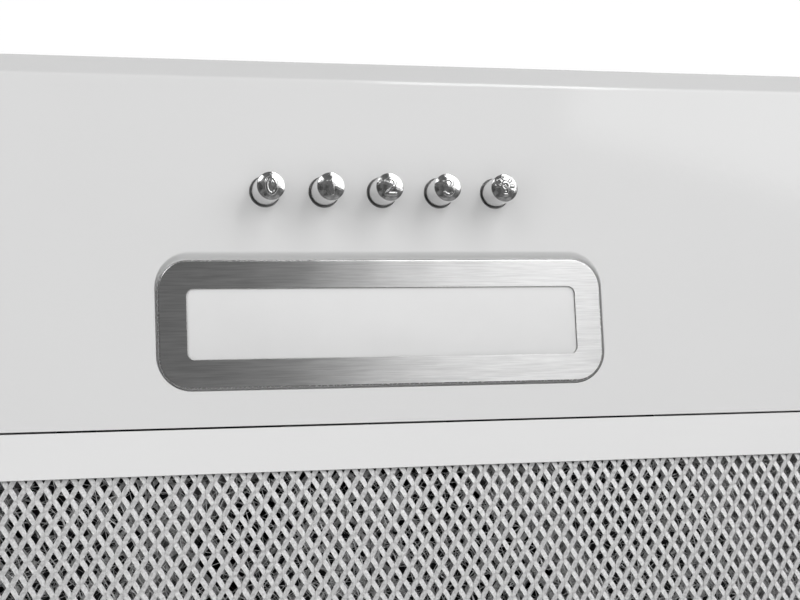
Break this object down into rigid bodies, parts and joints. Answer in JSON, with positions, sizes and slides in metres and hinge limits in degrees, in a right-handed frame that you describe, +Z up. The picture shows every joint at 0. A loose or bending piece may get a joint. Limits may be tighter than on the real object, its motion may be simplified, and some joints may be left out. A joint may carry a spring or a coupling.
{
  "type": "under cabinet range hood",
  "caption": "Slim white under cabinet range hood with chrome push buttons, LED lamp, hinged mesh grease filter, blower and round duct collar.",
  "frame": {"origin": "centre of the flat top face that is screwed up against the cabinet", "axes": "+Z up, +X along the width, -Y towards the cook, +Y towards the wall"},
  "size_m": [0.6, 0.5, 0.199],
  "materials": {
    "white_paint": "glossy white powder coat with fine orange peel",
    "filter_paint": "glossy white coil-coated steel",
    "galvanised_steel": "galvanised sheet with faint spangle",
    "zinc_steel": "bright zinc plated",
    "chrome_button": "mirror chrome plating on plastic",
    "brushed_bezel": "stainless, brushed along its length, polished edges",
    "filter_aluminium": "bright bare aluminium, slightly scuffed",
    "diffuser": "frosted opal plastic",
    "black_plastic": "moulded, fine texture",
    "grey_plastic": "moulded, fine texture",
    "white_plastic": "moulded, satin",
    "rubber_mount": "soft black rubber",
    "lead_sheath": "grey flexible sheath",
    "circuit_board": "white solder mask",
    "motor_paint": "black satin enamel"
  },
  "bodies": {
    "housing": {"top_panel": "white_paint", "front_panel": "white_paint", "left_side_panel": "white_paint", "right_side_panel": "white_paint", "back_panel": "white_paint", "duct_collar": "black_plastic", "damper_pin_front": "zinc_steel", "damper_pin_rear": "zinc_steel", "scroll_housing": "black_plastic", "inlet_ring": "galvanised_steel", "inlet_guard": "zinc_steel", "motor_body": "motor_paint", "motor_bracket": "galvanised_steel", "motor_grommet_1": "rubber_mount", "motor_grommet_2": "rubber_mount", "motor_grommet_3": "rubber_mount", "capacitor": "white_plastic", "capacitor_clip": "zinc_steel", "junction_box": "grey_plastic", "junction_box_cover": "grey_plastic", "terminal_block": "white_plastic", "cable_gland": "black_plastic", "motor_lead": "lead_sheath", "control_lead": "lead_sheath", "lamp_lead": "lead_sheath", "switch_bracket": "zinc_steel", "switch_block": "black_plastic", "switch_nut_left": "zinc_steel", "switch_nut_right": "zinc_steel", "lamp_bezel": "brushed_bezel", "lamp_diffuser": "diffuser", "lamp_housing": "white_plastic", "led_board": "circuit_board", "lamp_clip_left": "zinc_steel", "lamp_clip_right": "zinc_steel", "collar_screw_1": "zinc_steel", "scroll_screw_1": "zinc_steel", "collar_screw_2": "zinc_steel", "scroll_screw_2": "zinc_steel", "collar_screw_3": "zinc_steel", "scroll_screw_3": "zinc_steel", "collar_screw_4": "zinc_steel", "scroll_screw_4": "zinc_steel"},
    "impeller": {"impeller_hub": "black_plastic", "impeller_cage": "black_plastic", "motor_shaft": "zinc_steel"},
    "damper_front": {"damper_flap_front": "galvanised_steel"},
    "damper_rear": {"damper_flap_rear": "galvanised_steel"},
    "filter": {"filter_frame": "filter_paint", "filter_front_mesh": "filter_aluminium", "filter_core": "filter_aluminium", "filter_back_mesh": "filter_aluminium"},
    "latch_left": {"filter_latch_left": "white_plastic"},
    "latch_right": {"filter_latch_right": "white_plastic"},
    "button_0_body": {"button_0": "chrome_button"},
    "button_1_body": {"button_1": "chrome_button"},
    "button_2_body": {"button_2": "chrome_button"},
    "button_3_body": {"button_3": "chrome_button"},
    "button_light_body": {"button_light": "chrome_button"}
  },
  "joints": [
    {"name": "impeller_spin", "type": "hinge", "parent": "housing", "child": "impeller", "pos_m": [0, -0.045, -0.05], "axis": [0, 0, 1], "continuous": true},
    {"name": "damper_front_swing", "type": "hinge", "parent": "housing", "child": "damper_front", "pos_m": [0, 0.161, 0.0104], "axis": [1, 0, 0], "range_deg": [-80, 0]},
    {"name": "damper_rear_swing", "type": "hinge", "parent": "housing", "child": "damper_rear", "pos_m": [0, 0.169, 0.0104], "axis": [1, 0, 0], "range_deg": [0, 80]},
    {"name": "button_0_press", "type": "slide", "parent": "housing", "child": "button_0_body", "axis": [0, 0, 1], "range_m": [0, 0.004], "stiffness_N_per_m": 300, "springref_m": -0.004},
    {"name": "button_1_press", "type": "slide", "parent": "housing", "child": "button_1_body", "axis": [0, 0, 1], "range_m": [0, 0.004], "stiffness_N_per_m": 300, "springref_m": -0.004},
    {"name": "button_2_press", "type": "slide", "parent": "housing", "child": "button_2_body", "axis": [0, 0, 1], "range_m": [0, 0.004], "stiffness_N_per_m": 300, "springref_m": -0.004},
    {"name": "button_3_press", "type": "slide", "parent": "housing", "child": "button_3_body", "axis": [0, 0, 1], "range_m": [0, 0.004], "stiffness_N_per_m": 300, "springref_m": -0.004},
    {"name": "button_light_press", "type": "slide", "parent": "housing", "child": "button_light_body", "axis": [0, 0, 1], "range_m": [0, 0.004], "stiffness_N_per_m": 300, "springref_m": -0.004},
    {"name": "filter_hinge", "type": "hinge", "parent": "housing", "child": "filter", "pos_m": [0, 0.206, -0.1265], "axis": [1, 0, 0], "range_deg": [0, 75]},
    {"name": "latch_left_slide", "type": "slide", "parent": "filter", "child": "latch_left", "axis": [0, 1, 0], "range_m": [0, 0.005], "stiffness_N_per_m": 400, "springref_m": -0.003},
    {"name": "latch_right_slide", "type": "slide", "parent": "filter", "child": "latch_right", "axis": [0, 1, 0], "range_m": [0, 0.005], "stiffness_N_per_m": 400, "springref_m": -0.003}
  ]
}
